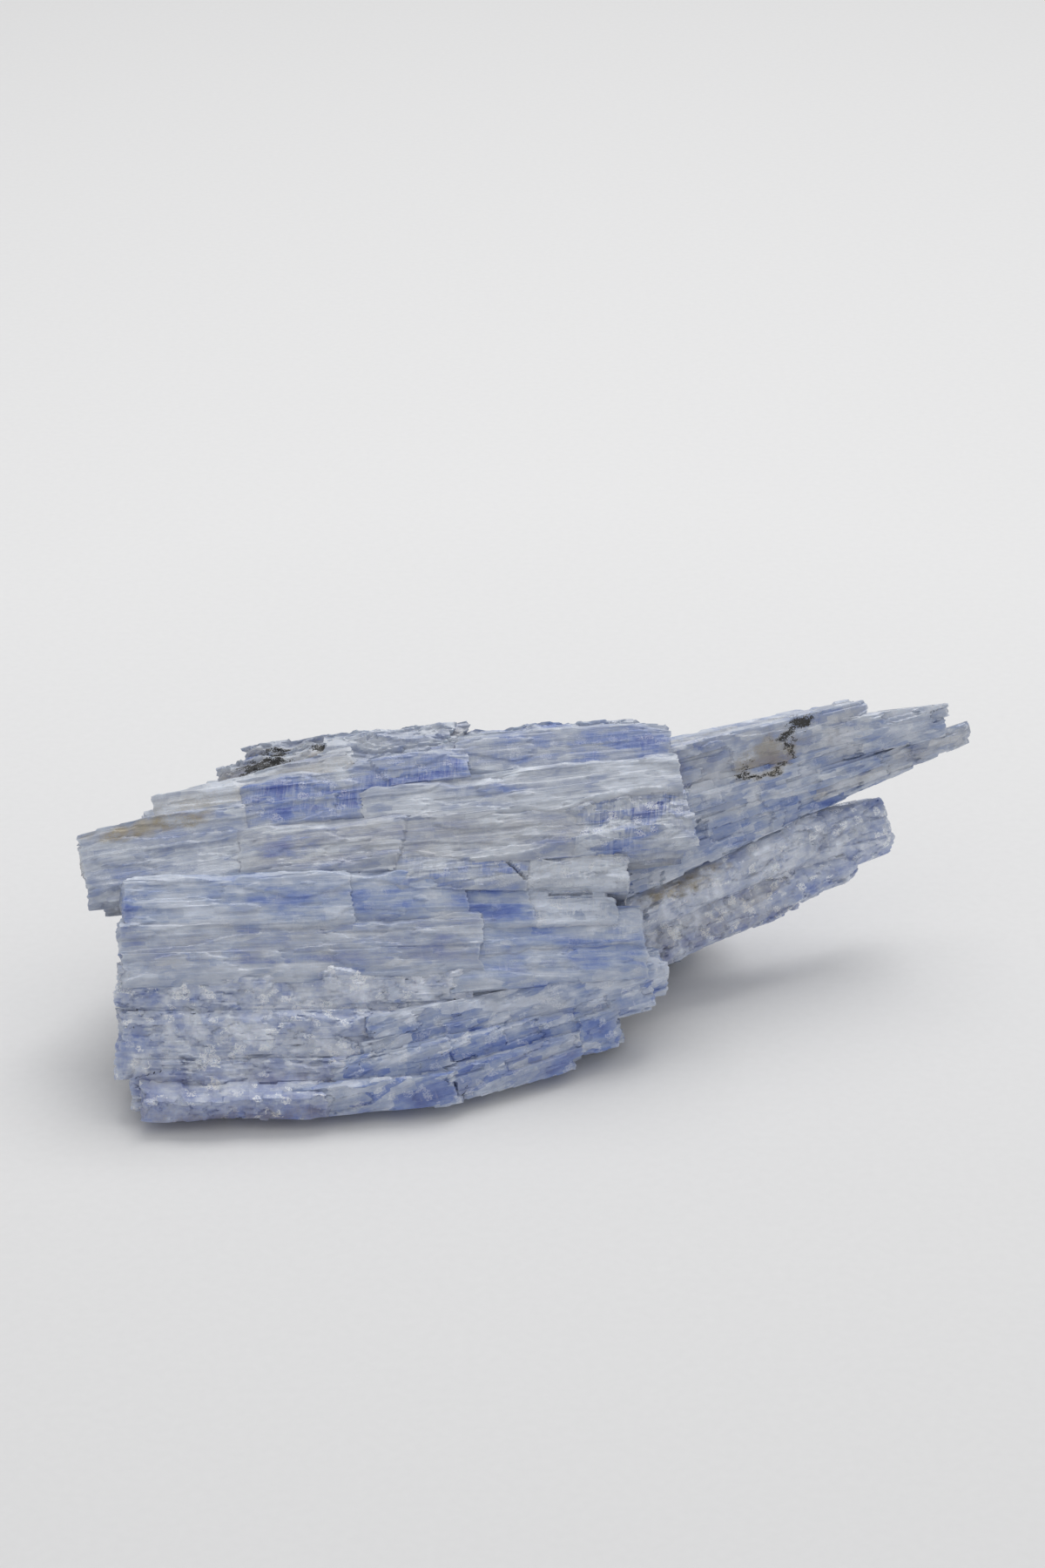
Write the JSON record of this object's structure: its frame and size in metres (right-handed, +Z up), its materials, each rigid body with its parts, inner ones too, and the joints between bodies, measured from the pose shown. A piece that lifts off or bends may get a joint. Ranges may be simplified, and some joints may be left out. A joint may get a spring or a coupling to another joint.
{
  "type": "kyanite blade cluster",
  "caption": "Intergrown mass of flat splintery kyanite blades, a stepped slab whose far end parts into a raised wing and a low spray.",
  "frame": {"origin": "centre of the specimen's box, on the surface it rests on", "axes": "+X along the blades towards the wing and the low spray, +Y towards the back, +Z up from the flat underside"},
  "size_m": [0.1094, 0.0592, 0.032],
  "materials": {
    "kyanite": "pearly to glassy on the broad faces, duller and fibrous on the broken ends"
  },
  "bodies": {
    "root": {"kyanite_cluster": "kyanite"}
  },
  "joints": []
}
